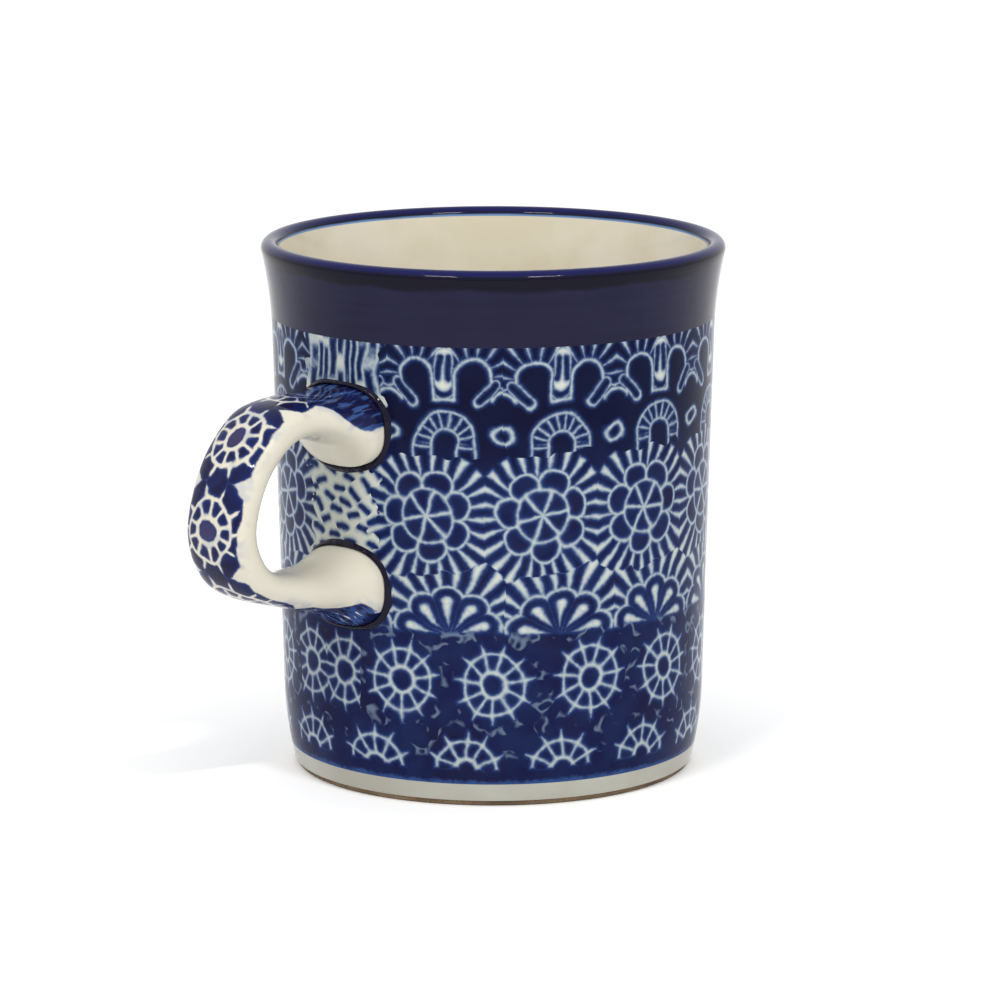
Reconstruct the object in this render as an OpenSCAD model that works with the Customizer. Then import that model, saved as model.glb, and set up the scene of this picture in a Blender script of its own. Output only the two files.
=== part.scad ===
// Stoneware mug: a turned cup with a flared rim, and a pulled strap handle luted to its side.
// Millimetres. The origin is the centre of the foot's plane, +Z is the cup's axis, the handle is on -X.

/* [Cup] */
// Outside diameter at the rim
rim_d = 80; // [72:1:90]
// Height from the table to the top of the lip
cup_h = 92; // [84:1:104]
// Thickness of the wall, glaze included
wall_t = 3.1; // [2.8:0.1:4.6]
// Thickness of the floor, from the underside's glaze to the inside's
floor_t = 4.8; // [4:0.1:6]
// How far the side leans out for each millimetre of height
side_lean = 0.027; // [0.01:0.001:0.04]
// Extra radius that the rim flares out by
rim_flare = 1.45; // [0.5:0.05:2.5]
// Height of the flared stretch under the lip
flare_h = 16; // [10:1:20]
// How far the side tucks in at the foot
foot_tuck = 1.6; // [0.8:0.1:2.4]
// Height of the tucked stretch
tuck_h = 14; // [10:2:18]

/* [Foot] */
// Width of the bare ring that the mug stands on
foot_ring_w = 4.6; // [3:0.1:6]
// Depth of the hollow under the floor
foot_hollow = 1.6; // [1:0.1:2.5]

/* [Handle] */
// Distance from the cup's axis to the outermost point of the handle
handle_reach = 69; // [65:0.5:73]
// Width of the strap where the fingers hold it
strap_w = 14; // [12:0.5:16]
// Margin of slip that shows round each end of the strap
slip_margin = 1.3; // [0.8:0.1:2]
// Thickness of the slip that stands out from the side under the strap
slip_t = 0.5; // [0.3:0.1:0.8]

/* [Glaze] */
// Thickness of every coat of glaze
coat = 0.35; // [0.25:0.05:0.5]
// Height of the plain cobalt band, from its lower edge to the top of the lip
band_h = 13; // [8:1:16]
// Height of the top of the plain strip above the foot
strip_h = 4; // [2:1:6]

/* [Hidden] */
$fn = 96;

lip_r = wall_t / 2;
rim_r = rim_d / 2;
lip_z = cup_h - lip_r;
band_z = cup_h - band_h;
flare_z = cup_h - flare_h;
foot_edge_h = 1;
foot_r = side_r(foot_edge_h) - coat - 0.8;
hollow_r = foot_r - foot_ring_w;
floor_z = foot_hollow + floor_t;
corner_r = 8;
inner_r = side_r(floor_z + corner_r) - wall_t;
curve_step = 1;
arc_step = 15;

// Radius of the glazed side at a height: a leaning line, flared at the rim and tucked in at the foot.
function side_r(z) =
    rim_r - rim_flare - side_lean * (lip_z - z)
    + (z > flare_z ? rim_flare * pow((z - flare_z) / (lip_z - flare_z), 2) : 0)
    - (z < tuck_h ? foot_tuck * pow((tuck_h - z) / tuck_h, 2) : 0);

// Points up the side from one height to another, moved in towards the axis by inset.
function side(z0, z1, inset) = [
    for (z = [z0, each [for (k = [ceil(z0 / curve_step) + 1 : ceil(z1 / curve_step) - 1])
        if (k * curve_step <= tuck_h || k * curve_step >= flare_z) k * curve_step], z1])
        [side_r(z) - inset, z]
];

// Points of an arc from angle a0 to a1, both multiples of the step.
function arc(centre, r, a0, a1) = [
    for (a = [a0 : (a1 > a0 ? arc_step : -arc_step) : a1])
        [centre[0] + r * cos(a), centre[1] + r * sin(a)]
];

function backwards(points) = [for (i = [len(points) - 1 : -1 : 0]) points[i]];

// Over the lip from the outside to the inside, inset into the clay by a depth.
function lip(inset) = arc([rim_r - lip_r, lip_z], lip_r - inset, 0, 180);

// Down the inside to the middle of the floor. The inset goes into the clay.
function inside(inset) = concat(
    backwards(side(floor_z + corner_r, lip_z, wall_t - inset)),
    arc([inner_r - corner_r, floor_z + corner_r], corner_r + inset, 0, -90),
    [[0, floor_z - inset]]
);

// ---- the strap handle ----
// Stations along the strap from the upper end to the lower one, in its own plane. Each has the outer
// line's distance out and height, the inner line's distance out and height, and the half width.
// Distances out are from the cup's axis.
strap_stations = [
    [38.6, 71.0, 38.5, 57.4, 9.5],
    [43.5, 70.3, 43.6, 62.2, 8.3],
    [50.5, 70.6, 49.5, 64.1, 7.2],
    [58.4, 68.8, 55.2, 62.4, 7.0],
    [65.4, 61.0, 60.4, 57.3, 7.0],
    [69.0, 49.4, 62.5, 50.0, 7.0],
    [64.8, 39.9, 59.4, 44.0, 7.1],
    [54.0, 35.7, 52.6, 41.4, 7.1],
    [43.8, 33.2, 44.4, 41.1, 7.5],
    [37.9, 30.0, 38.0, 43.3, 8.8]
];
strap_root = 38;
strap_out = 69;
strap_half = 7;
span_steps = 5;
strap_sides = 28;
strap_roundness = 2.5;
cap_rings = 3;
spans = len(strap_stations) - 1;
strap_rings = spans * span_steps;

// The station list carried one station past each end, so that the curve has a direction there.
strap_line = concat(
    [2 * strap_stations[0] - strap_stations[1]],
    strap_stations,
    [2 * strap_stations[spans] - strap_stations[spans - 1]]
);

// A smooth curve through the stations (Catmull-Rom), at ring number i.
function strap_at(i) =
    let (k = min(floor(i / span_steps), spans - 1), t = i / span_steps - k)
    let (a = strap_line[k], b = strap_line[k + 1], c = strap_line[k + 2], d = strap_line[k + 3])
    0.5 * (2 * b + (c - a) * t + (2 * a - 5 * b + 4 * c - d) * t * t
        + (3 * b - 3 * c + d - a) * t * t * t);

reach_scale = (handle_reach - strap_root) / (strap_out - strap_root);
function reached(out) = strap_root + (out - strap_root) * reach_scale;

function soft_corner(v) = sign(v) * pow(abs(v), 2 / strap_roundness);

// Where a line along X meets the outside of the slip pads.
function pad_x(y, z) = -sqrt(pow(side_r(z) + slip_t, 2) - y * y);

// One closed ring round the strap: a rounded section, shrunk by inset, or by share on the ends' faces.
function ring(i, inset, share) =
    let (s = strap_at(i), half = [reached(s[0]) - reached(s[2]), s[1] - s[3]] / 2)
    let (mid = [reached(s[0]) + reached(s[2]), s[1] + s[3]] / 2)
    let (in_plane = share * (1 - inset / norm(half)))
    let (across = share * (s[4] + (strap_w / 2 - strap_half) - inset))
    [for (k = [0 : strap_sides - 1])
        let (a = 360 * (k + 0.5) / strap_sides, p = mid + half * in_plane * soft_corner(cos(a)))
        let (y = across * soft_corner(sin(a)))
        i == 0 || i == strap_rings ? [pad_x(y, p[1]), y, p[1]] : [-p[0], y, p[1]]];

function end_middle(i) =
    let (s = strap_at(i), z = (s[1] + s[3]) / 2)
    [pad_x(0, z), 0, z];

// Quads between ring a and ring b of a point list whose first ring starts at index start.
function band(a, b, start) = [
    for (k = [0 : strap_sides - 1])
        let (n = (k + 1) % strap_sides)
        [start + a * strap_sides + k, start + a * strap_sides + n,
         start + b * strap_sides + n, start + b * strap_sides + k]
];

// The solid clay strap, with its ends curved to sit on the slip pads.
module strap_solid(inset) {
    ends = [for (c = [1 : cap_rings - 1]) c / cap_rings];
    rings = concat(
        [for (share = ends) ring(0, inset, share)],
        [for (i = [0 : strap_rings]) ring(i, inset, 1)],
        [for (share = backwards(ends)) ring(strap_rings, inset, share)]
    );
    last = len(rings) - 1;
    points = concat([end_middle(0)], [for (r = rings) each r], [end_middle(strap_rings)]);
    top = len(points) - 1;
    faces = concat(
        [for (k = [0 : strap_sides - 1]) [0, 1 + (k + 1) % strap_sides, 1 + k]],
        [for (i = [0 : last - 1]) each band(i, i + 1, 1)],
        [for (k = [0 : strap_sides - 1])
            [top, 1 + last * strap_sides + k, 1 + last * strap_sides + (k + 1) % strap_sides]]
    );
    polyhedron(points, faces, convexity = 6);
}

// A sleeve round the strap, as thick as the coat and open at both ends.
module strap_sleeve(thickness) {
    rings = concat(
        [for (i = [0 : strap_rings]) ring(i, 0, 1)],
        [for (i = [strap_rings : -1 : 0]) ring(i, thickness, 1)]
    );
    points = [for (r = rings) each r];
    faces = [for (i = [0 : len(rings) - 1]) each band(i, (i + 1) % len(rings), 0)];
    polyhedron(points, faces, convexity = 6);
}

// ---- where the strap's ends are luted on ----
// A block along -X with rounded sides, as wide and high as an end of the strap and its margin of slip.
module slip_block(station) {
    s = strap_stations[station];
    h = abs(s[1] - s[3]) + 2 * slip_margin;
    w = 2 * s[4] + strap_w - 2 * strap_half + 2 * slip_margin;
    translate([0, 0, (s[1] + s[3]) / 2]) rotate([0, -90, 0]) linear_extrude(rim_r + 5) {
        square([h, w - h], center = true);
        for (side = [-1, 1]) translate([0, side * (w - h) / 2]) circle(d = h);
    }
}

// The pad of slip under an end of the strap: it fills the coat's gap and stands a little proud.
module slip_pad(station) {
    s = strap_stations[station];
    z0 = min(s[1], s[3]) - 2 * slip_margin;
    z1 = max(s[1], s[3]) + 2 * slip_margin;
    intersection() {
        rotate_extrude() polygon(concat(side(z0, z1, coat), backwards(side(z0, z1, -slip_t))));
        slip_block(station);
    }
}

// ---- sub-parts ----
// Thrown clay: wall, lip, floor and foot ring.
module cup_body() {
    color("tan") rotate_extrude() polygon(concat(
        [[foot_r, 0]],
        side(foot_edge_h, lip_z, coat),
        lip(coat),
        inside(coat),
        [[0, foot_hollow + coat], [hollow_r - 1, foot_hollow + coat], [hollow_r, 0]]
    ));
}

module handle_core() {
    color("tan") strap_solid(coat);
}

module upper_slip_joint() {
    color([0.07, 0.06, 0.14]) slip_pad(0);
}

module lower_slip_joint() {
    color([0.07, 0.06, 0.14]) slip_pad(spans);
}

// Clear glaze over the bare clay inside, from the floor up to the lip.
module liner_glaze() {
    color([0.85, 0.83, 0.75]) rotate_extrude() polygon(concat(inside(0), backwards(inside(coat))));
}

// The plain cobalt band: down the outside, over the lip and just into the mouth.
module rim_band_glaze() {
    color([0.1, 0.09, 0.27]) rotate_extrude() polygon(concat(
        side(band_z, lip_z, 0), lip(0), backwards(lip(coat)), backwards(side(band_z, lip_z, coat))
    ));
}

// The stamped stretch of the side, cut away under the strap's two ends.
module stamped_wall_glaze() {
    color([0.2, 0.26, 0.52]) difference() {
        rotate_extrude() polygon(concat(side(strip_h, band_z, 0), backwards(side(strip_h, band_z, coat))));
        slip_block(0);
        slip_block(spans);
    }
}

// The plain strip between the stamps and the foot.
module foot_strip_glaze() {
    color([0.86, 0.84, 0.77]) rotate_extrude()
        polygon(concat(side(foot_edge_h, strip_h, 0), backwards(side(foot_edge_h, strip_h, coat))));
}

// Glaze in the hollow under the floor, inside the bare foot ring.
module underside_glaze() {
    color([0.86, 0.84, 0.77]) translate([0, 0, foot_hollow]) cylinder(h = coat, r = hollow_r - 1.5);
}

module handle_glaze() {
    color([0.72, 0.72, 0.76]) strap_sleeve(coat);
}

cup_body();
handle_core();
upper_slip_joint();
lower_slip_joint();
liner_glaze();
rim_band_glaze();
stamped_wall_glaze();
foot_strip_glaze();
underside_glaze();
handle_glaze();
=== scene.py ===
import math

import bmesh
import bpy
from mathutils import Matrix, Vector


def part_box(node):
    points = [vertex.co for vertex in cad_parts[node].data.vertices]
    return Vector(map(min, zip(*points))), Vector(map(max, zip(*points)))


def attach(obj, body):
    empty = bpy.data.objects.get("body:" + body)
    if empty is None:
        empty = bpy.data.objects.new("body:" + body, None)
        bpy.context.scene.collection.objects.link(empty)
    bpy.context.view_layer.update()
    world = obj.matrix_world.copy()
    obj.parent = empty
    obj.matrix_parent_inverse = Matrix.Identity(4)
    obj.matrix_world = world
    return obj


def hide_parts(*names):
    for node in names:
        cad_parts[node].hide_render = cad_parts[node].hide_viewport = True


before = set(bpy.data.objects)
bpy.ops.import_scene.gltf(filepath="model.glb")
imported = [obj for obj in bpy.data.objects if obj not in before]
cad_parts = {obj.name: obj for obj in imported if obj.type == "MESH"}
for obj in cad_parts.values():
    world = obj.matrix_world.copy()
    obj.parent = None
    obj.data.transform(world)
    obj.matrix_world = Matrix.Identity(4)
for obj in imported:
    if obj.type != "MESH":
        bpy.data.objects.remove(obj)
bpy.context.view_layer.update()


# ---- The clay cup ----
# Stoneware thrown to a straight wall with a flared lip, and left bare only on the ring that it stands on.
# The wall, floor and foot ring are one piece of clay, turned true on the wheel when leather hard.

MM = 0.001
AROUND_STEPS = 192
CORNER_ANGLE = math.radians(40)
COAT = 0.35 * MM
LEAN = 0.027
FLARE = 1.45 * MM
FLARE_HEIGHT = 16 * MM
TUCK = 1.6 * MM
TUCK_HEIGHT = 14 * MM
HOLLOW_SLOPE = 1.0 * MM
HOLLOW_BARE_EDGE = 0.5 * MM
INSIDE_CORNER = 8 * MM
FOOT_CORNER = 0.7 * MM
RING_CORNER = 0.6 * MM
# The bare clay's browns are partly its own colour and partly painted shadow: they were darkened for the dark
# line where the foot meets the floor.
CLAY = "5A4838"
CLAY_LIGHT = "79664F"
CLAY_GRAIN = "4A3A2D"

rim_low, rim_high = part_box("rim_band_glaze")
rim_radius = rim_high.x
cup_height = rim_high.z
band_height = rim_low.z
lip_radius = cup_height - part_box("liner_glaze")[1].z
lip_height = cup_height - lip_radius
wall_thickness = 2 * lip_radius
floor_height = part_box("liner_glaze")[0].z + COAT
foot_edge_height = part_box("foot_strip_glaze")[0].z
strip_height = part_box("stamped_wall_glaze")[0].z
hollow_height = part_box("underside_glaze")[0].z
underside_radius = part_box("underside_glaze")[1].x
hollow_radius = underside_radius + HOLLOW_BARE_EDGE + HOLLOW_SLOPE


def side_radius(height):
    """Radius of the glazed side: a leaning line, flared under the lip and tucked in at the foot."""
    radius = rim_radius - FLARE - LEAN * (lip_height - height)
    flare_start = cup_height - FLARE_HEIGHT
    if height > flare_start:
        radius += FLARE * ((height - flare_start) / (lip_height - flare_start)) ** 2
    if height < TUCK_HEIGHT:
        radius -= TUCK * ((TUCK_HEIGHT - height) / TUCK_HEIGHT) ** 2
    return radius


def side_line(low, high, inset, pitch=1.0 * MM):
    """Points up the side, moved in towards the axis by inset."""
    count = max(1, round((high - low) / pitch))
    heights = [low + (high - low) * k / count for k in range(count + 1)]
    return [(side_radius(z) - inset, z) for z in heights]


def bend(centre, radius, start, end, count):
    """Points of an arc, its angles in degrees."""
    angles = [math.radians(start + (end - start) * k / count) for k in range(count + 1)]
    return [(centre[0] + radius * math.cos(a), centre[1] + radius * math.sin(a)) for a in angles]


def lip_line(inset):
    """Over the half-round lip, from the outside to the inside."""
    return bend((rim_radius - lip_radius, lip_height), lip_radius - inset, 0, 180, 24)


def inside_line(inset):
    """Down the inside from the lip to the middle of the floor, with a soft corner."""
    corner_height = floor_height + INSIDE_CORNER
    wall = side_line(corner_height, lip_height, wall_thickness - inset, 2 * MM)[::-1]
    centre = (side_radius(corner_height) - wall_thickness - INSIDE_CORNER, corner_height)
    corner = bend(centre, INSIDE_CORNER + inset, 0, -90, 16)
    floor_line = [(centre[0] * k / 8, floor_height - inset) for k in range(7, -1, -1)]
    return wall + corner[1:] + floor_line


def crisp(shell):
    """Keeps the real corners of a coat sharp, so that only its broad faces shade as one."""
    for edge in shell.edges:
        if edge.calc_face_angle(0.0) > CORNER_ANGLE:
            edge.smooth = False


def turned(name, outline, lay_radius=None):
    """A piece turned on the wheel from a closed outline of (radius, height) points. A point on the axis
    closes it there. The map "lay" holds metres round the cup, from the handle, and metres up it."""
    lay_radius = lay_radius or max(r for r, _ in outline)
    mesh = bpy.data.meshes.new(name)
    shell = bmesh.new()
    lay = shell.loops.layers.uv.new("lay")
    rings = []
    for radius, height in outline:
        count = AROUND_STEPS if radius > 1e-6 else 1
        turns = [math.pi + 2 * math.pi * k / AROUND_STEPS for k in range(count)]
        rings.append([shell.verts.new((radius * math.cos(a), radius * math.sin(a), height)) for a in turns])
    ends_on_axis = len(rings[-1]) == 1 and len(rings[0]) == 1
    for i in range(len(rings) - (1 if ends_on_axis else 0)):
        low, high = rings[i], rings[(i + 1) % len(rings)]
        for k in range(AROUND_STEPS):
            corners = []
            for ring, step in ((low, k), (low, k + 1), (high, k + 1), (high, k)):
                vert = ring[step % len(ring)]
                if vert not in [known for known, _ in corners]:
                    corners.append((vert, step))
            if len(corners) < 3:
                continue
            face = shell.faces.new([vert for vert, _ in corners])
            face.smooth = True
            for loop, (vert, step) in zip(face.loops, corners):
                loop[lay].uv = (2 * math.pi * lay_radius * step / AROUND_STEPS, vert.co.z)
    bmesh.ops.recalc_face_normals(shell, faces=shell.faces)
    crisp(shell)
    shell.to_mesh(mesh)
    shell.free()
    piece = bpy.data.objects.new(name, mesh)
    bpy.context.scene.collection.objects.link(piece)
    return piece


def paint(sheet_colour):
    """A colour from a paint chart's hex number."""
    values = [int(sheet_colour[k:k + 2], 16) / 255 for k in (0, 2, 4)]
    linear = [v / 12.92 if v <= 0.04045 else ((v + 0.055) / 1.055) ** 2.4 for v in values]
    return (*linear, 1.0)


class Field:
    """A number that the shader works out at every point of a surface."""

    tree = None

    def __init__(self, socket):
        self.socket = socket

    def __add__(self, other):
        return worked("ADD", self, other)

    def __sub__(self, other):
        return worked("SUBTRACT", self, other)

    def __rsub__(self, other):
        return worked("SUBTRACT", other, self)

    def __mul__(self, other):
        return worked("MULTIPLY", self, other)

    def __truediv__(self, other):
        return worked("DIVIDE", self, other)

    def __neg__(self):
        return worked("MULTIPLY", self, -1.0)

    __radd__ = __add__
    __rmul__ = __mul__


def plug(term, slot):
    """Sets a node's input from a field or from a plain number or colour."""
    if isinstance(term, Field):
        Field.tree.links.new(term.socket, slot)
    else:
        slot.default_value = term


def worked(operation, *terms):
    """One sum worked out by the shader."""
    node = Field.tree.nodes.new("ShaderNodeMath")
    node.operation = operation
    for term, slot in zip(terms, node.inputs):
        plug(term, slot)
    return Field(node.outputs[0])


def larger(a, b):
    return worked("MAXIMUM", a, b)


def smaller(a, b):
    return worked("MINIMUM", a, b)


def unsigned(value):
    """The value without its sign."""
    return worked("ABSOLUTE", value)


def far(x, y):
    return worked("SQRT", x * x + y * y)


def place(x, y, z=0.0):
    """A point for a pattern to be read at."""
    node = Field.tree.nodes.new("ShaderNodeCombineXYZ")
    for term, slot in zip((x, y, z), node.inputs):
        plug(term, slot)
    return Field(node.outputs[0])


def mottle(where, size, detail=2.0, roughness=0.5):
    """Cloudy unevenness between 0 and 1, its clouds about this many units across."""
    node = Field.tree.nodes.new("ShaderNodeTexNoise")
    plug(where, node.inputs["Vector"])
    node.inputs["Scale"].default_value = 1.0 / size
    node.inputs["Detail"].default_value = detail
    node.inputs["Roughness"].default_value = roughness
    return Field(node.outputs["Fac"])


def ramp(value, low, high, out_low=0.0, out_high=1.0):
    """Smoothly from out_low to out_high while the value goes from low to high."""
    node = Field.tree.nodes.new("ShaderNodeMapRange")
    node.interpolation_type = "SMOOTHSTEP"
    for term, slot in zip((value, low, high, out_low, out_high), node.inputs):
        plug(term, slot)
    return Field(node.outputs[0])


def blend_colours(share, first, second):
    """The first colour where the share is 0, the second where it is 1."""
    node = Field.tree.nodes.new("ShaderNodeMix")
    node.data_type = "RGBA"
    plug(share, node.inputs["Factor"])
    plug(first, node.inputs["A"])
    plug(second, node.inputs["B"])
    return Field(node.outputs["Result"])


def start_finish(name, gloss=0.2):
    """A new material with one plain shader, ready for fields to be worked out in it."""
    material = bpy.data.materials.new(name)
    material.use_nodes = True
    Field.tree = material.node_tree
    shader = material.node_tree.nodes["Principled BSDF"]
    shader.inputs["IOR"].default_value = 1.5
    shader.inputs["Specular IOR Level"].default_value = gloss
    return material, shader


def lay_in_mm():
    """The two measures of the map "lay", in millimetres."""
    node = Field.tree.nodes.new("ShaderNodeUVMap")
    node.uv_map = "lay"
    parts = Field.tree.nodes.new("ShaderNodeSeparateXYZ")
    Field.tree.links.new(node.outputs[0], parts.inputs[0])
    return Field(parts.outputs[0]) / MM, Field(parts.outputs[1]) / MM


def spot_in_mm():
    """The point of the piece itself, in millimetres."""
    node = Field.tree.nodes.new("ShaderNodeTexCoord")
    scale = Field.tree.nodes.new("ShaderNodeVectorMath")
    scale.operation = "SCALE"
    scale.inputs["Scale"].default_value = 1 / MM
    Field.tree.links.new(node.outputs["Object"], scale.inputs[0])
    return Field(scale.outputs[0])


def off_axis_in_mm():
    """How far the point is from the axis that the cup is turned on, in millimetres."""
    parts = Field.tree.nodes.new("ShaderNodeSeparateXYZ")
    Field.tree.links.new(spot_in_mm().socket, parts.inputs[0])
    return far(Field(parts.outputs[0]), Field(parts.outputs[1]))


def raise_surface(shader, height, depth):
    """Bumps the surface by a field from 0 to 1, depth in metres."""
    node = Field.tree.nodes.new("ShaderNodeBump")
    node.inputs["Distance"].default_value = depth
    plug(height, node.inputs["Height"])
    Field.tree.links.new(node.outputs[0], shader.inputs["Normal"])


def bare_clay_finish():
    material, shader = start_finish("bare_clay")
    spot = spot_in_mm()
    grain = mottle(spot, 0.5, 4.0, 0.7)
    cloud = mottle(spot, 7.0, 2.0)
    # The darkness of these browns at the bare foot edge is partly painted shadow.
    body = blend_colours(ramp(cloud, 0.3, 0.7), paint(CLAY), paint(CLAY_LIGHT))
    plug(blend_colours(ramp(grain, 0.5, 0.75), body, paint(CLAY_GRAIN)), shader.inputs["Base Color"])
    plug(ramp(grain, 0.2, 0.8, 0.7, 0.9), shader.inputs["Roughness"])
    raise_surface(shader, grain, 0.06 * MM)
    return material


def dress(piece, material, slot, *nodes):
    """Gives a piece its finish and its place on the mug's one body, and hides the CAD nodes that it stands
    for.
    """
    piece.data.materials.clear()
    piece.data.materials.append(material)
    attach(piece, "root")
    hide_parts(*nodes)
    return piece


bare_clay = bare_clay_finish()
foot_radius = side_radius(foot_edge_height) - COAT
clay_outline = (
    [(0.0, hollow_height + COAT), (hollow_radius - HOLLOW_SLOPE, hollow_height + COAT)]
    + bend((hollow_radius + RING_CORNER, RING_CORNER), RING_CORNER, 180, 270, 6)
    + bend((foot_radius - FOOT_CORNER, FOOT_CORNER), FOOT_CORNER, -90, 0, 6)
    + side_line(foot_edge_height, lip_height, COAT)
    + lip_line(COAT)[1:]
    + inside_line(COAT)[1:]
)
cup_clay = turned("cup_clay", clay_outline)
dress(cup_clay, bare_clay, "bare_clay", "cup_body")


# ---- The clear glaze inside, on the foot strip and underneath ----
# The same clear gloss glaze covers every part that isn't coloured. It is poured in and dipped, and it fires
# to a warm cream with soft clouds. On the foot strip and underneath its cream is painted greyer, as painted
# shade.

CREAM = "D0CABA"
CREAM_DEEP = "C5BDA7"
# A greyer cream for the foot strip and underneath: painted shade.
SHADED_FOOT_CREAM = "A5A49A"
SHADED_FOOT_CREAM_DEEP = "98958A"
SPECK = "8C7A60"
GLAZE_WAVES = 0.05 * MM
STRIP_PITCH = 0.5 * MM


def clear_glaze_finish(name, light, deep):
    material, shader = start_finish(name)
    spot = spot_in_mm()
    cloud = mottle(spot, 14.0, 3.0)
    speck = mottle(spot, 0.55, 1.0)
    cream = blend_colours(ramp(cloud, 0.3, 0.75), paint(light), paint(deep))
    cream = blend_colours(ramp(speck, 0.79, 0.83, 0.0, 0.5), cream, paint(SPECK))
    plug(cream, shader.inputs["Base Color"])
    plug(ramp(mottle(spot, 3.0), 0.3, 0.7, 0.06, 0.1), shader.inputs["Roughness"])
    raise_surface(shader, mottle(spot, 6.0, 2.0), GLAZE_WAVES)
    return material


clear_glaze = clear_glaze_finish("clear_glaze", CREAM, CREAM_DEEP)
# The foot's glaze is the clear glaze painted greyer, as painted shade.
shaded_foot_glaze = clear_glaze_finish("shaded_foot_glaze", SHADED_FOOT_CREAM, SHADED_FOOT_CREAM_DEEP)
liner = turned("liner_coat", inside_line(0.0) + inside_line(COAT)[::-1])
dress(liner, clear_glaze, "cream_glaze", "liner_glaze")

strip_outline = (side_line(foot_edge_height, strip_height, 0.0, STRIP_PITCH)
                 + side_line(foot_edge_height, strip_height, COAT, STRIP_PITCH)[::-1])
foot_strip = turned("foot_strip_coat", strip_outline)
dress(foot_strip, shaded_foot_glaze, "cream_glaze", "foot_strip_glaze")

underside_outline = [
    (0.0, hollow_height),
    (underside_radius * 0.5, hollow_height),
    (underside_radius - COAT, hollow_height),
    (underside_radius, hollow_height + COAT),
    (underside_radius * 0.5, hollow_height + COAT),
    (0.0, hollow_height + COAT),
]
underside = turned("underside_coat", underside_outline)
dress(underside, shaded_foot_glaze, "cream_glaze", "underside_glaze")


# ---- The cobalt band on the rim ----
# Dark cobalt laid on with a brush while the cup turns, from the wall over the lip and just into the mouth.
# The glaze breaks clear blue on the crest of the lip, and light blue in a thin line at the cream inside.

BAND_COBALT = "16152D"
BAND_STREAK = "1B1A37"
BAND_CLOUD = "100F24"
# Blackish blue just under the crest: painted reflection of dark surroundings in the lip's rounding.
PAINTED_REFLECTION_UNDER_CREST = "050414"
CREST_BLUE = "10134A"
THIN_EDGE = "6F92C4"


def band_finish():
    material, shader = start_finish("cobalt_band", 0.12)
    spot = spot_in_mm()
    around, up = lay_in_mm()
    down = cup_height / MM - up
    streak = mottle(place(around * 0.04, up), 1.3, 3.0)
    cloud = mottle(spot, 9.0, 2.0)
    cobalt = blend_colours(ramp(streak, 0.3, 0.75, 0.0, 0.6), paint(BAND_COBALT), paint(BAND_STREAK))
    cobalt = blend_colours(ramp(cloud, 0.35, 0.8, 0.0, 0.5), cobalt, paint(BAND_CLOUD))
    wander = mottle(place(around * 0.1, 3.0), 1.0, 2.0) * 2.4
    # A blackish ring just under the crest on the outside: painted reflection, not cobalt.
    painted_reflection_under_crest = ramp(down - wander, 2.6, 1.7) * ramp(down, 1.4, 0.6, 1.0, 0.0)
    cobalt = blend_colours(painted_reflection_under_crest * 0.9, cobalt, paint(PAINTED_REFLECTION_UNDER_CREST))
    cobalt = blend_colours(ramp(down, 1.0, 0.5, 0.0, 0.8), cobalt, paint(CREST_BLUE))
    in_from_crest = (rim_radius - lip_radius) / MM - off_axis_in_mm()
    thin_line = ramp(down - wander * 0.12, 0.9, 1.25) * ramp(in_from_crest, 0.4, 0.9, 0.0, 0.85)
    cobalt = blend_colours(thin_line, cobalt, paint(THIN_EDGE))
    plug(cobalt, shader.inputs["Base Color"])
    plug(ramp(streak, 0.3, 0.7, 0.05, 0.08), shader.inputs["Roughness"])
    raise_surface(shader, mottle(spot, 8.0, 2.0), GLAZE_WAVES)
    return material


band_outline = (
    side_line(band_height, lip_height, 0.0)
    + lip_line(0.0)[1:]
    + lip_line(COAT)[::-1]
    + side_line(band_height, lip_height, COAT)[::-1][1:]
)
rim_band = turned("rim_band_coat", band_outline)
dress(rim_band, band_finish(), "cobalt_band_glaze", "rim_band_glaze")


# ---- The stamped wall ----
# Cobalt is stamped on the biscuit with small cut sponges, row by row, and the clear glaze goes over it.
# From the top: lobes, arches, flowers, fans, wheels and half wheels, down to a brushed line at the foot.

WALL_RADIUS = 37.9
TURN = 2 * math.pi * WALL_RADIUS
WALL_CREAM = "B4B8AE"
WALL_BLEED = "4A688F"
WALL_COBALT = "161F43"
WALL_COBALT_DEEP = "11153A"
WALL_PATCH = "17122A"
# Near black cobalt for the top rows: partly thicker ink there and partly painted shade.
WALL_TOP_INK_AND_SHADE = "070A22"
STAMP_EDGE = "223A70"
FOOT_LINE = "34548C"
EDGE_WANDER = 0.35

# How many stamps a row has, how high its middles are in millimetres, and where it starts from the handle.
REPEATS, WHEELS = 12, 14
LOBE_HEIGHT, LOBE_START = 73.6, 30.3
ARCH_HEIGHT = 62.7
FLOWER_HEIGHT, FLOWER_START = 50.4, 25.6
FAN_HEIGHT, FAN_START = 29.9, 30.8
WHEEL_HEIGHT, WHEEL_START = 21.7, 43.4
HALF_WHEEL_HEIGHT, HALF_WHEEL_START = 6.5, 61.0
UPPER_ROWS_LOW = 60.6
FOOT_LINE_TOP = 5.0


def dice(x, y):
    """Three numbers of chance between 0 and 1, the same each time for the same pair of whole numbers."""
    node = Field.tree.nodes.new("ShaderNodeTexWhiteNoise")
    node.noise_dimensions = "2D"
    plug(place(x, y), node.inputs["Vector"])
    parts = Field.tree.nodes.new("ShaderNodeSeparateColor")
    Field.tree.links.new(node.outputs["Color"], parts.inputs[0])
    return [Field(output) for output in parts.outputs[:3]]


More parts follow.
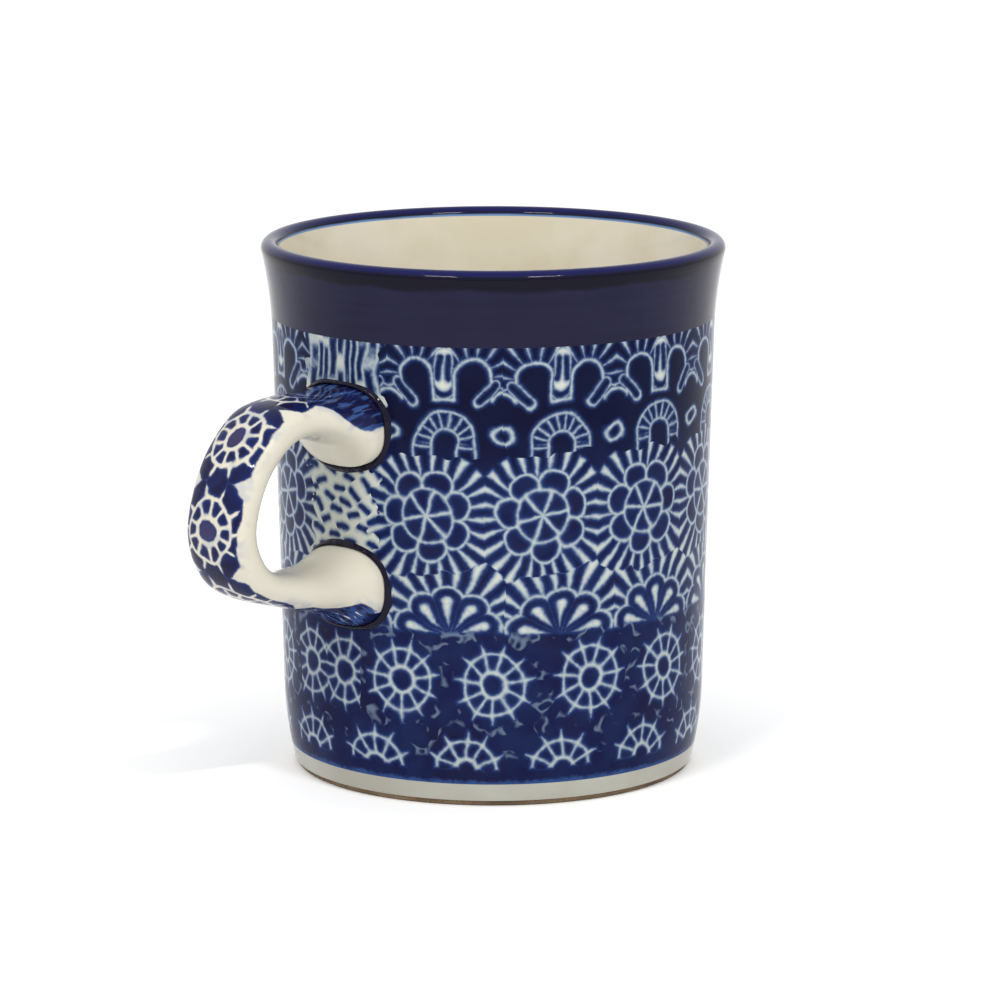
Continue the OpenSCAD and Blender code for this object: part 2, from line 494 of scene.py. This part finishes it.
def stamp(around, row_start, repeats, seed, slip=0.0, sway=0.0):
    """Millimetres to the middle of the nearest stamp of a row, two numbers of chance for that stamp, and
    its number in the row. The row starts at row_start degrees from the handle. Slip is how unevenly the
    stamps are spaced, in millimetres, and sway moves the line between two of them, as a share of a stamp."""
    share = around * (repeats / TURN) - row_start * repeats / 360
    index = worked("FLOOR", share + sway + 0.5)
    number = worked("FLOORED_MODULO", index, float(repeats))
    chances = dice(number, seed)
    first, second = chances[0] - 0.5, chances[1] - 0.5
    return (share - index) * (TURN / repeats) + first * slip, first, second, number


def turn_of(x, y):
    return worked("ARCTAN2", y, x)


def off_spoke(angle, count, start=0.0):
    """The angle to the nearest of a number of evenly spaced spokes, the first at start degrees."""
    share = angle * (count / (2 * math.pi)) - start * count / 360
    return (share - worked("ROUND", share)) * (2 * math.pi / count)


def off_line(reach, angle):
    """Distance from a line out of the middle, for a point at this reach and this angle off the line."""
    return unsigned(reach * worked("SINE", angle))


def along_and_across(reach, angle):
    return reach * worked("COSINE", angle), reach * worked("SINE", angle)


def rod(x, y, start, end, radius):
    """A straight stroke with round ends."""
    dx, dy = end[0] - start[0], end[1] - start[1]
    length = dx * dx + dy * dy
    along = (x - start[0]) * (dx / length) + (y - start[1]) * (dy / length)
    along = larger(smaller(along, 1.0), 0.0)
    return far(x - start[0] - along * dx, y - start[1] - along * dy) - radius


def rounded(a, b, softness=0.3):
    """Both a and b, with the corner between them rounded."""
    return worked("SMOOTH_MAX", a, b, softness)


def melted(a, b, softness):
    """Either a or b, with the nook between them filled."""
    return worked("SMOOTH_MIN", a, b, softness)


def lobes_and_arches(around, up):
    """The two top rows, and over the handle the long strokes that stand in for them. Under zero is blue."""
    x, chance, _, number = stamp(around, LOBE_START, REPEATS, 1.0, 0.5)
    side = unsigned(x)
    half = TURN / REPEATS / 2
    y = up + chance * 0.6
    neck = larger(smaller(y, LOBE_HEIGHT + 0.3), LOBE_HEIGHT - 4.6)
    lobe = far(side - 4.7, y - neck) - 2.45
    dome = far(side - half, y - LOBE_HEIGHT + 4.7) - 2.1
    sky = melted(melted(lobe, y - LOBE_HEIGHT + 4.0, 0.8), dome, 0.5)
    lobe_x, lobe_y = side - 4.65, y - LOBE_HEIGHT
    reach = far(lobe_x, lobe_y)
    ray = off_line(reach, off_spoke(turn_of(lobe_x, lobe_y), 15, 90.0)) - reach * 0.1 - 0.28
    blue = smaller(sky, rounded(ray, 0.75 - sky, 0.3))
    finger = rod(side, lobe_y, (0.0, 3.9), (0.0, -0.6), 1.6)
    finger_dash = rod(side, lobe_y, (0.62, 3.6), (0.9, 0.1), 0.46)
    leg = rod(side, lobe_y, (5.5, -4.1), (8.2, -1.0), 1.05)
    leg_dash = rod(side, lobe_y, (5.7, -3.9), (8.2, -1.0), 0.58)
    blue = smaller(larger(blue, -smaller(finger, leg)), smaller(finger_dash, leg_dash))

    swayed = x + (mottle(place(around, up * 0.5, 91.0), 4.0, 0.0) - 0.5) * 3.0
    lane = worked("ROUND", swayed / 1.7)
    long_stroke = unsigned(swayed - lane * 1.7) - 0.46
    stop = (mottle(place(lane * 5.3, up * 0.22, 8.0), 1.0, 0.0) - 0.57) * 5.0
    ragged = (mottle(place(around, up, 27.0), 2.5, 1.0) - 0.5) * 5.0
    over_handle = worked("GREATER_THAN", number, REPEATS - 1.5) * worked("LESS_THAN", side + ragged, 8.6)
    over_handle = over_handle * worked("GREATER_THAN", y, 66.0)
    blue = over_handle * larger(long_stroke, stop) + (1.0 - over_handle) * blue

    arch_y = y - ARCH_HEIGHT
    bow = larger(arch_y, 0.0)
    reach = far(x, bow)
    spoke = off_line(reach, off_spoke(turn_of(x, bow), 17, 90 + 180 / 17)) - 0.27
    rung = unsigned(arch_y + 0.75) - 0.27
    spoke = melted(larger(spoke, -arch_y - 0.2), rung, 0.1)
    spoke = larger(spoke, 2.2 - reach)
    outer_line = unsigned(reach - 5.15) - 0.32
    inner_line = unsigned(reach - 2.3) - 0.32
    lines = smaller(smaller(spoke, outer_line), inner_line)
    lines = larger(lines, reach - 5.5)
    twist = worked("SINE", x * 1.6) * 0.25
    bean = unsigned(far((half - side) * 0.75, arch_y - 1.4 + twist) - 1.25) - 0.4
    return larger(blue, -smaller(lines, bean))


def strewn_strokes(around, up):
    """Short strokes dabbed in many directions, one to each square of a slanting grid."""
    square = 3.0
    around, up = around * 0.8 + up * 0.6, up * 0.8 - around * 0.6
    column, row = worked("FLOOR", around / square), worked("FLOOR", up / square)
    chances = dice(column, row)
    tilt = chances[0] * 1.7 - 1.85
    dx = around - (column + 0.35 + chances[1] * 0.3) * square
    dy = up - (row + 0.35 + chances[2] * 0.3) * square
    along = dx * worked("COSINE", tilt) + dy * worked("SINE", tilt)
    across = dy * worked("COSINE", tilt) - dx * worked("SINE", tilt) + along * along * 0.06
    return far(larger(unsigned(along) - 0.95, 0.0), across) - 0.42


def flowers_and_fans(around, up):
    """The two middle rows with the rays that fill the ground between them, and short strokes behind the
    handle. Under zero is blue."""
    left_side = worked("GREATER_THAN", around, TURN / 2)
    crowd = ramp(around, TURN / 2, TURN * 0.92, 0.0, 5.0)
    right_of_handle = ramp(around, 10.0, 15.0, 0.4, 0.0)
    left_of_handle = ramp(around, TURN - 24.0, TURN - 18.0, 0.0, 0.4)
    sway = (mottle(place(around, up, 61.0), 2.2, 1.0) - 0.5) * larger(right_of_handle, left_of_handle)
    x, chance, other, number = stamp(around - left_side * crowd, FLOWER_START, REPEATS, 2.0, 0.3, sway)
    y = up - FLOWER_HEIGHT - other * 0.4
    reach, angle = far(x, y), turn_of(x, y) + chance * 0.5
    at_handle = worked("GREATER_THAN", number, REPEATS - 1.5)
    away = 20.0
    along, across = along_and_across(reach, off_spoke(angle, 7, 20.5))
    petal = rounded(far((along - 5.7) * 1.15, across) - 2.15, 4.85 - reach, 0.8)
    along, across = along_and_across(reach, off_spoke(angle, 6, 42.0))
    cell = rounded(reach - 4.2, 0.42 + unsigned(across) * 0.866 - along * 0.5, 0.9)
    flower = smaller(petal, cell) + at_handle * away
    ray = off_line(reach, off_spoke(turn_of(x, y), 25, 90.0)) - 0.5 - reach * 0.02
    ray = rounded(rounded(ray, 0.8 - petal, 0.4), 6.5 - reach, 0.3) + at_handle * away
    strewn = strewn_strokes(around - left_side * TURN, up) + (1.0 - at_handle) * away
    ray = smaller(ray, strewn)

    fan_x, fan_chance, fan_other, _ = stamp(around, FAN_START, REPEATS, 3.0, 0.5)
    fan_x = fan_x * 0.84
    fan_y = up - FAN_HEIGHT - fan_other * 0.4
    fan_reach = far(fan_x, fan_y)
    fan_angle = turn_of(fan_x, fan_y) - math.pi / 2 + fan_chance * 0.06
    step = math.radians(38)
    petal_number = larger(smaller(worked("ROUND", fan_angle / step), 2.0), -2.0)
    along, across = along_and_across(fan_reach, fan_angle - petal_number * step)
    width = unsigned(across)
    wedge = larger(width * 0.93 - along * 0.37, along - 5.6)
    outline = smaller(far(along - 5.7, across) - 2.1, wedge)
    drop_wedge = larger(width * 0.975 - (along - 1.6) * 0.225, along - 5.6)
    drop = smaller(far(along - 5.6, across) - 0.9, drop_wedge)
    fan = larger(outline, -drop)
    fan_ray = off_line(fan_reach, off_spoke(fan_angle, 25)) - 0.58 - fan_reach * 0.01
    fan_ray = rounded(fan_ray, 0.75 - outline, 0.3)

    wobble = (mottle(place(around, up, 21.0), 2.2, 0.0) - 0.5) * 3.2
    nearer_fan = fan_reach - reach - 0.3 + wobble
    strokes = smaller(larger(ray, -nearer_fan), larger(fan_ray, nearer_fan))
    below = melted(fan, fan_y - 0.4, 0.6)
    field = smaller(smaller(flower, strokes), below)
    return melted(field, larger(11.9 - reach, 56.0 - up), 0.3)


def wheel(x, y, start):
    """White lines of one wheel stamp: a ring round the hub, eleven cells and a spike at each gap between
    them. Under zero is white."""
    cells = 11
    reach, angle = far(x, y), turn_of(x, y)
    off_cell = unsigned(off_spoke(angle, cells, start))
    from_side = reach * worked("SINE", math.pi / cells - off_cell)
    cell = rounded(rounded(reach - 5.0, 2.6 - reach, 0.5), 0.34 - from_side, 0.8)
    spike = larger(from_side - (7.3 - reach) * 0.2 - 0.1, reach - 7.2)
    outline = melted(reach - 5.7, spike, 0.8)
    return larger(outline, -smaller(cell, reach - 1.65))


def wheels(around, up):
    """The wheels with the half wheels that the foot's line cuts off, and the crumbs of sponge between them.
    Two wheels overlap where the row closes behind the handle. Under zero is white."""
    x, _, other, number = stamp(around, WHEEL_START, WHEELS, 4.0, 0.8)
    closing = worked("GREATER_THAN", number, WHEELS - 2.5) * worked("LESS_THAN", number, WHEELS - 1.5)
    x = x + closing * (unsigned(x) - x - 4.6)
    y = up - WHEEL_HEIGHT - other * 0.8
    reach = far(x, y)
    white = wheel(x, y, 90.0)
    x, _, other, _ = stamp(around, HALF_WHEEL_START, WHEELS, 5.0, 0.8)
    y = up - HALF_WHEEL_HEIGHT - other * 0.6
    white = smaller(white, larger(wheel(x, y, 90.0 + 360 / 22), 6.8 - up))
    free = smaller(reach, far(x, y)) - 7.4
    worm = mottle(place(around, up, 5.0), 3.4, 1.0) - 0.5
    crumb = mottle(place(around, up, 55.0), 2.6, 0.0)
    crumbs = larger(unsigned(worm) * 11.0 - 0.34, (0.53 - crumb) * 12.0)
    crumbs = larger(larger(larger(crumbs, 0.3 - free), 9.0 - up), up - 30.5)
    return white, crumbs


def stamped_wall_finish():
    material, shader = start_finish("stamped_wall", 0.04)
    around, up = lay_in_mm()
    spot = spot_in_mm()
    drift = mottle(spot, 6.0, 1.0) - 0.5
    drift_up = mottle(place(around, up, 31.0), 5.0, 1.0) - 0.5
    edge = mottle(spot, 0.8, 1.0) - 0.5
    around = around + drift * 1.6
    up = up + drift_up * 1.2
    white, crumbs = wheels(around, up)
    ragged = (mottle(place(around, up, 13.0), 3.0, 0.0) - 0.5) * 3.0
    above = worked("GREATER_THAN", up + ragged, UPPER_ROWS_LOW)
    blue = lobes_and_arches(around, up) * above + flowers_and_fans(around, up) * (1.0 - above)
    blue = larger(blue, -white) + edge * EDGE_WANDER
    ink = ramp(blue, -0.16, 0.38, 1.0, 0.0) * ramp(crumbs, -0.4, 0.5, 0.45, 1.0)
    bleed = larger(ramp(blue, -0.1, 0.9, 0.75, 0.0), ramp(crumbs, -0.4, 0.5, 0.6, 0.0))
    cloud = mottle(spot, 5.0, 3.0)
    patch = mottle(place(around, up, 77.0), 9.0, 2.0)
    cobalt = blend_colours(ramp(cloud, 0.35, 0.7), paint(WALL_COBALT), paint(WALL_COBALT_DEEP))
    cobalt = blend_colours(ramp(patch, 0.5, 0.7, 0.0, 0.5), cobalt, paint(WALL_PATCH))
    # Darker towards the top of the wall: partly thicker ink and partly painted shade.
    cobalt = blend_colours(ramp(up, 52.0, 66.0, 0.0, 0.75), cobalt, paint(WALL_TOP_INK_AND_SHADE))
    cobalt = blend_colours(ramp(blue, -0.6, 0.0, 0.0, 0.5), cobalt, paint(STAMP_EDGE))
    foot_line = ramp(up + edge, FOOT_LINE_TOP, FOOT_LINE_TOP - 1.0, 0.0, 0.6)
    cobalt = blend_colours(foot_line, cobalt, paint(FOOT_LINE))
    cream = blend_colours(bleed, paint(WALL_CREAM), paint(WALL_BLEED))
    plug(blend_colours(ink, cream, cobalt), shader.inputs["Base Color"])
    plug(ramp(cloud, 0.3, 0.7, 0.06, 0.1), shader.inputs["Roughness"])
    raise_surface(shader, mottle(spot, 7.0, 2.0), GLAZE_WAVES)
    return material


wall_outline = (side_line(strip_height, band_height, 0.0)
                + side_line(strip_height, band_height, COAT)[::-1])
stamped_wall = turned("stamped_wall_coat", wall_outline, WALL_RADIUS * MM)
dress(stamped_wall, stamped_wall_finish(), "stamped_wall_glaze", "stamped_wall_glaze")


def lay_flat(piece):
    """A second map, in which the stamped face fills most of a square as two strips, each half a turn long,
    and the face against the clay is squeezed in beside them."""
    mesh = piece.data
    lay = [tuple(item.vector) for item in mesh.uv_layers["lay"].uv]
    flat = mesh.uv_layers.new(name="OFBake").uv
    full_turn = max(u for u, _ in lay)
    margin, wide, tall, beside, hidden, rim = 0.004, 0.785, 0.492, 0.81, 0.16, 0.008
    for face in mesh.polygons:
        spots = [mesh.vertices[mesh.loops[k].vertex_index].co for k in face.loop_indices]
        depths = [(side_radius(spot.z) - math.hypot(spot.x, spot.y)) / COAT for spot in spots]
        strip = 1 if sum(lay[k][0] for k in face.loop_indices) > 2 * full_turn else 0
        for k, spot, depth in zip(face.loop_indices, spots, depths):
            turn = lay[k][0] / full_turn
            rise = (spot.z - strip_height) / (band_height - strip_height)
            if max(depths) < 0.5:
                flat[k].vector = (margin + (2 * turn - strip) * wide, margin + strip / 2 + rise * tall)
            else:
                edge = depth if rise < 0.5 else 2 - depth
                flat[k].vector = (beside + rise * hidden + edge * rim, turn)


lay_flat(stamped_wall)


# ---- The strap handle ----
# A strap of clay pulled by hand, bent to a C and thickened where it meets the wall. Its own glaze covers a
# row of wheels stamped along the back, smeared at both ends; the sides and the inside stay plain.

# Down the strap from its upper end, in millimetres: the outer line's distance from the axis and its height,
# the same for the inner line, and half the width.
STRAP_STATIONS = (
    (38.6, 71.0, 38.5, 57.4, 9.5),
    (43.5, 70.3, 43.6, 62.2, 8.3),
    (50.5, 70.6, 49.5, 64.1, 7.2),
    (58.4, 68.8, 55.2, 62.4, 7.0),
    (65.4, 61.0, 60.4, 57.3, 7.0),
    (69.0, 49.4, 62.5, 50.0, 7.0),
    (64.8, 39.9, 59.4, 44.0, 7.1),
    (54.0, 35.7, 52.6, 41.4, 7.1),
    (43.8, 33.2, 44.4, 41.1, 7.5),
    (37.9, 30.0, 38.0, 43.3, 8.8),
)
STRAP_SPANS = len(STRAP_STATIONS) - 1
STRAP_REACH_DRAWN = 69.06 * MM
STRAP_ROUNDNESS = 2.5
STRAP_SIDES = 72
STRAP_STEPS = 14

strap_reach = -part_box("handle_glaze")[0].x / STRAP_REACH_DRAWN


def strap_at(share):
    """The strap's section at a place along it: outer line, inner line and half width, in metres. A smooth
    curve runs through the stations, carried on straight past the first and the last."""
    before = [2 * p - q for p, q in zip(STRAP_STATIONS[0], STRAP_STATIONS[1])]
    after = [2 * p - q for p, q in zip(STRAP_STATIONS[-1], STRAP_STATIONS[-2])]
    line = [before, *STRAP_STATIONS, after]
    k = min(int(share * STRAP_SPANS), STRAP_SPANS - 1)
    t = share * STRAP_SPANS - k
    section = []
    for a, b, c, d in zip(*line[k:k + 4]):
        bow = (2 * a - 5 * b + 4 * c - d) * t * t
        twist = (3 * b - 3 * c + d - a) * t * t * t
        section.append(0.5 * (2 * b + (c - a) * t + bow + twist))
    return [value * MM * (strap_reach if i in (0, 2) else 1.0) for i, value in enumerate(section)]


def soft_corner(value):
    """Squares a round section up a little."""
    return math.copysign(abs(value) ** (2 / STRAP_ROUNDNESS), value)


def strap_ring(share, inset, at_wall=False):
    """One ring of points round the strap, beginning at the middle of its inner face. At the wall it is
    carried on to the clay's curved side."""
    out_r, out_z, in_r, in_z, half_width = strap_at(share)
    half = ((out_r - in_r) / 2, (out_z - in_z) / 2)
    mid = ((out_r + in_r) / 2, (out_z + in_z) / 2)
    thin = 1 - inset / math.hypot(*half)
    points = []
    for k in range(STRAP_SIDES):
        a = math.pi + 2 * math.pi * k / STRAP_SIDES
        deep = thin * soft_corner(math.cos(a))
        y = (half_width - inset) * soft_corner(math.sin(a))
        z = mid[1] + half[1] * deep
        x = -(mid[0] + half[0] * deep)
        if at_wall:
            x = -math.sqrt((side_radius(z) - COAT * 0.5) ** 2 - y * y)
        points.append((x, y, z))
    return points


def strap_mesh(name, rings, closed_loop):
    """Skins a list of rings. The map "lay" holds metres across, from the middle of the back, and along."""
    mesh = bpy.data.meshes.new(name)
    shell = bmesh.new()
    lay = shell.loops.layers.uv.new("lay")
    rows = [[shell.verts.new(p) for p in ring] for ring in rings]
    sides = len(rings[0])
    back = sides // 2
    along = [0.0]
    for ring, ring_before in zip(rings[1:], rings):
        along.append(along[-1] + math.dist(ring[back], ring_before[back]))
    across = []
    for ring in rings:
        spans = [math.dist(ring[k], ring[(k + 1) % sides]) for k in range(sides)]
        run = [0.0]
        for span in spans:
            run.append(run[-1] + span)
        across.append([value - run[back] for value in run])
    count = len(rows) if closed_loop else len(rows) - 1
    for i in range(count):
        j = (i + 1) % len(rows)
        for k in range(sides):
            corners = [(i, k), (i, k + 1), (j, k + 1), (j, k)]
            face = shell.faces.new([rows[a][b % sides] for a, b in corners])
            face.smooth = True
            for loop, (a, b) in zip(face.loops, corners):
                loop[lay].uv = (across[a][b], along[a])
    if not closed_loop:
        for row in (rows[0], rows[-1]):
            shell.faces.new(row)
    bmesh.ops.recalc_face_normals(shell, faces=shell.faces)
    crisp(shell)
    shell.to_mesh(mesh)
    shell.free()
    piece = bpy.data.objects.new(name, mesh)
    bpy.context.scene.collection.objects.link(piece)
    return piece


def strap_rings(inset):
    count = STRAP_STEPS * STRAP_SPANS
    free = [strap_ring(k / count, inset) for k in range(count + 1)]
    return [strap_ring(0.0, inset, True), *free, strap_ring(1.0, inset, True)]


handle_clay = strap_mesh("handle_clay", strap_rings(COAT), False)
dress(handle_clay, bare_clay, "bare_clay", "handle_core")


STAMP_START = 26.0
STAMP_PITCH = 16.3
STAMP_CELLS = 10
STRAP_LENGTH = 84.0
HANDLE_CREAM = "C6C2B4"
HANDLE_CREAM_DEEP = "BAB4A3"
HANDLE_FAINT = "5A74A4"
HANDLE_COBALT = "111A45"
HANDLE_COBALT_DEEP = "130F2E"
HANDLE_HUB = "474062"
HANDLE_EDGE = "223A74"
HANDLE_SMEAR = "3C5C98"


def stamped_handle_finish():
    material, shader = start_finish("stamped_handle", 0.12)
    across, along = lay_in_mm()
    along = STRAP_LENGTH - unsigned(STRAP_LENGTH - along)
    spot = spot_in_mm()
    drift = mottle(spot, 5.0, 1.0) - 0.5
    drift_up = mottle(place(across, along, 9.0), 4.0, 1.0) - 0.5
    edge = mottle(spot, 0.8, 1.0) - 0.5
    share = (along + drift_up * 1.8 - STAMP_START) / STAMP_PITCH
    x = across + drift * 1.8
    y = (share - worked("ROUND", share)) * STAMP_PITCH
    reach, angle = far(x * 1.1, y * 0.97), turn_of(x, y)
    half_cell = math.pi / STAMP_CELLS
    from_side = reach * worked("SINE", half_cell - unsigned(off_spoke(angle, STAMP_CELLS)))
    inner = rounded(rounded(reach - 4.9, 2.8 - reach, 0.5), 0.32 - from_side, 0.8)
    gap = ramp(reach, 6.6, 8.2, 0.32, -0.2)
    from_side = reach * worked("SINE", half_cell - unsigned(off_spoke(angle, STAMP_CELLS, 18.0)))
    outer = rounded(rounded(reach - 8.9, 5.6 - reach, 0.7), gap - from_side, 0.9)
    cells = smaller(smaller(reach - 1.9, inner), outer)
    from_lower_end = STRAP_LENGTH - along
    near_end = smaller(along, from_lower_end)
    flare = ramp(along, 1.0, 12.0, 6.5, 0.0) + ramp(from_lower_end, 1.0, 12.0, 3.5, 0.0)
    width = 6.1 + drift * 2.0 + flare
    border = unsigned(across) - width
    smear = mottle(place(across * 1.4, along * 0.35), 1.7, 2.0)
    smeared = ramp(near_end, 5.0, 15.0, 1.0, 0.0)
    cells = cells * (1.0 - smeared) + smeared * ramp(smear, 0.3, 0.4, 0.3, -1.0)
    blue = larger(cells, border) + edge * EDGE_WANDER
    ink = ramp(blue, -0.15, 0.25, 1.0, 0.0)
    faint = ramp(mottle(place(across, along, 40.0), 3.2, 1.0), 0.5, 0.62) * ramp(border, 0.2, 2.0, 1.0, 0.0)
    cloud = mottle(spot, 4.0, 3.0)
    cream_cloud = mottle(spot, 14.0, 3.0)
    deep = ramp(cream_cloud, 0.25, 0.8, 0.0, 0.6)
    cream = blend_colours(deep, paint(HANDLE_CREAM), paint(HANDLE_CREAM_DEEP))
    cream = blend_colours(faint * 0.25, cream, paint(HANDLE_FAINT))
    cobalt = blend_colours(ramp(cloud, 0.35, 0.65), paint(HANDLE_COBALT), paint(HANDLE_COBALT_DEEP))
    cobalt = blend_colours(ramp(reach, 2.4, 1.2, 0.0, 0.45), cobalt, paint(HANDLE_HUB))
    cobalt = blend_colours(ramp(blue, -0.6, 0.0, 0.0, 0.5), cobalt, paint(HANDLE_EDGE))
    cobalt = blend_colours(smeared * ramp(smear, 0.42, 0.52, 0.55, 0.0), cobalt, paint(HANDLE_SMEAR))
    plug(blend_colours(ink, cream, cobalt), shader.inputs["Base Color"])
    plug(ramp(cloud, 0.3, 0.7, 0.05, 0.08), shader.inputs["Roughness"])
    raise_surface(shader, mottle(spot, 6.0, 2.0), GLAZE_WAVES)
    return material


handle_coat = strap_mesh("handle_coat", strap_rings(0.0) + strap_rings(COAT)[::-1], True)
dress(handle_coat, stamped_handle_finish(), "stamped_handle_glaze", "handle_glaze")


# ---- The slip at the handle's two ends ----
# Wet slip glues each end of the strap to the scored wall. What squeezes out is smoothed round the join with
# a finger, and takes the colour dark, so that a blackish blue ring shows under the glaze.

SLIP_CLIMB = 0.28
SLIP_SPREAD = 1.15 * MM
SLIP_LIFT = 0.5 * MM
SLIP_UNDER = 0.96
SLIP_DARK = "0B0813"
SLIP_BLUE = "131028"
SLIP_WAVES = 0.35 * MM
BEAD_STEPS = 8


def slip_finish():
    material, shader = start_finish("joint_slip", 0.14)
    spot = spot_in_mm()
    cloud = mottle(spot, 2.0, 3.0)
    plug(blend_colours(cloud, paint(SLIP_DARK), paint(SLIP_BLUE)), shader.inputs["Base Color"])
    shader.inputs["Roughness"].default_value = 0.07
    raise_surface(shader, mottle(spot, 1.8, 2.0), SLIP_WAVES)
    return material


def on_wall(y, height, lift):
    """The point of the side under the handle at this sideways place and height, lifted off it."""
    return (-math.sqrt((side_radius(height) + lift) ** 2 - y * y), y, height)


def slip_ring(name, end):
    """A bead round one end of the strap: from a little way up the strap, out over the wall to a thin toe.
    It is a little uneven, as a finger leaves it."""
    root = strap_ring(end, 0.0, True)
    strap = strap_ring(end, 0.0)
    heights = [p[2] for p in root]
    middle = (min(heights) + max(heights)) / 2
    sections = []
    for k, (foot, off_wall) in enumerate(zip(root, strap)):
        around = 2 * math.pi * k / STRAP_SIDES
        uneven = 1 + 0.14 * math.sin(3 * around + 1.0) + 0.1 * math.sin(7 * around + 2.3)
        spread = SLIP_SPREAD * uneven / math.hypot(foot[1], foot[2] - middle)
        climb = tuple(a + (b - a) * SLIP_CLIMB * uneven for a, b in zip(foot, off_wall))
        part_way, full = 1 + spread * 0.45, 1 + spread
        crown = on_wall(foot[1] * part_way, middle + (foot[2] - middle) * part_way, 2 * SLIP_LIFT)
        toe = on_wall(foot[1] * full, middle + (foot[2] - middle) * full, -0.5 * COAT)
        under = on_wall(foot[1] * SLIP_UNDER, middle + (foot[2] - middle) * SLIP_UNDER, -0.5 * COAT)
        bead = []
        for step in range(BEAD_STEPS + 1):
            t = step / BEAD_STEPS
            shares = ((1 - t) ** 2, 2 * t * (1 - t), t * t)
            bead.append([sum(s * v for s, v in zip(shares, spots)) for spots in zip(climb, crown, toe)])
        sections.append(bead + [under])
    rings = [[section[k] for section in sections] for k in range(len(sections[0]))]
    return strap_mesh(name, rings, True)


joint_slip = slip_finish()
upper_slip = slip_ring("upper_slip_bead", 0.0)
dress(upper_slip, joint_slip, "joint_slip", "upper_slip_joint")
lower_slip = slip_ring("lower_slip_bead", 1.0)
dress(lower_slip, joint_slip, "joint_slip", "lower_slip_joint")


# ---- The studio ----
# A white sweep under an even white sky, a slim soft box high in front at either side, and a long lens that
# looks a little down on the cup.

CAMERA_TURN = math.radians(-47.3)
CAMERA_DOWN = math.radians(11.28)
CAMERA_DISTANCE = 0.862
CAMERA_HEIGHT = 0.2178
CAMERA_SIDESTEP = 0.00117
CAMERA_LENS = 182.07
CAMERA_FILM = 36
CAMERA_REACH = 20

toward = (math.sin(CAMERA_TURN), -math.cos(CAMERA_TURN))
right = (math.cos(CAMERA_TURN), math.sin(CAMERA_TURN))


def from_camera_side(sideways, nearer, height):
    """A point given by how far it is to the camera's right, towards the camera and up."""
    return (right[0] * sideways + toward[0] * nearer, right[1] * sideways + toward[1] * nearer, height)


camera_data = bpy.data.cameras.new("camera")
camera_data.lens = CAMERA_LENS
camera_data.sensor_width = CAMERA_FILM
camera_data.clip_end = CAMERA_REACH
camera = bpy.data.objects.new("camera", camera_data)
camera.location = from_camera_side(CAMERA_SIDESTEP, CAMERA_DISTANCE, CAMERA_HEIGHT)
camera.rotation_euler = (math.pi / 2 - CAMERA_DOWN, 0, CAMERA_TURN)
bpy.context.scene.collection.objects.link(camera)
bpy.context.scene.camera = camera


BOX_SIZE = (0.3, 0.03)
BOX_POWER = 4.6
BOX_AIM = (0, 0, 0.05)


def soft_box(name, spot):
    data = bpy.data.lights.new(name, "AREA")
    data.shape = "RECTANGLE"
    data.size, data.size_y = BOX_SIZE
    data.energy = BOX_POWER
    lamp = bpy.data.objects.new(name, data)
    lamp.location = spot
    away_x, away_y, away_z = [a - b for a, b in zip(BOX_AIM, spot)]
    tilt = math.atan2(math.hypot(away_x, away_y), -away_z)
    lamp.rotation_euler = (tilt, 0, math.atan2(away_y, away_x) - math.pi / 2)
    bpy.context.scene.collection.objects.link(lamp)
    return lamp


soft_box("left_box", from_camera_side(-0.45, 0.8, 0.9))
soft_box("right_box", from_camera_side(0.45, 0.8, 0.9))

SKY_LOW = 0.97
SKY_HIGH = 1.04

world = bpy.data.worlds.new("studio")
world.use_nodes = True
sky = world.node_tree.nodes["Background"]
sky.inputs["Color"].default_value = (1, 1, 1, 1)
Field.tree = world.node_tree
toward_sky = Field.tree.nodes.new("ShaderNodeTexCoord")
sky_parts = Field.tree.nodes.new("ShaderNodeSeparateXYZ")
Field.tree.links.new(toward_sky.outputs["Generated"], sky_parts.inputs[0])
plug(ramp(Field(sky_parts.outputs[2]), 0.0, 0.5, SKY_LOW, SKY_HIGH), sky.inputs["Strength"])
bpy.context.scene.world = world
bpy.context.scene.view_settings.view_transform = "Standard"

FLOOR_HALF = 4.0
FLOOR_WHITE = (0.96, 0.96, 0.96, 1)
FLOOR_SHADE = (0.94, 0.94, 0.94, 1)


def floor_finish():
    material, shader = start_finish("white_sweep")
    cloud = mottle(spot_in_mm(), 60.0, 3.0)
    plug(blend_colours(cloud, FLOOR_SHADE, FLOOR_WHITE), shader.inputs["Base Color"])
    shader.inputs["Roughness"].default_value = 0.6
    return material


def floor_sheet():
    mesh = bpy.data.meshes.new("floor")
    sheet = bmesh.new()
    bmesh.ops.create_grid(sheet, x_segments=8, y_segments=8, size=FLOOR_HALF)
    sheet.to_mesh(mesh)
    sheet.free()
    floor = bpy.data.objects.new("floor", mesh)
    bpy.context.scene.collection.objects.link(floor)
    floor.data.materials.append(floor_finish())
    return floor


floor = floor_sheet()
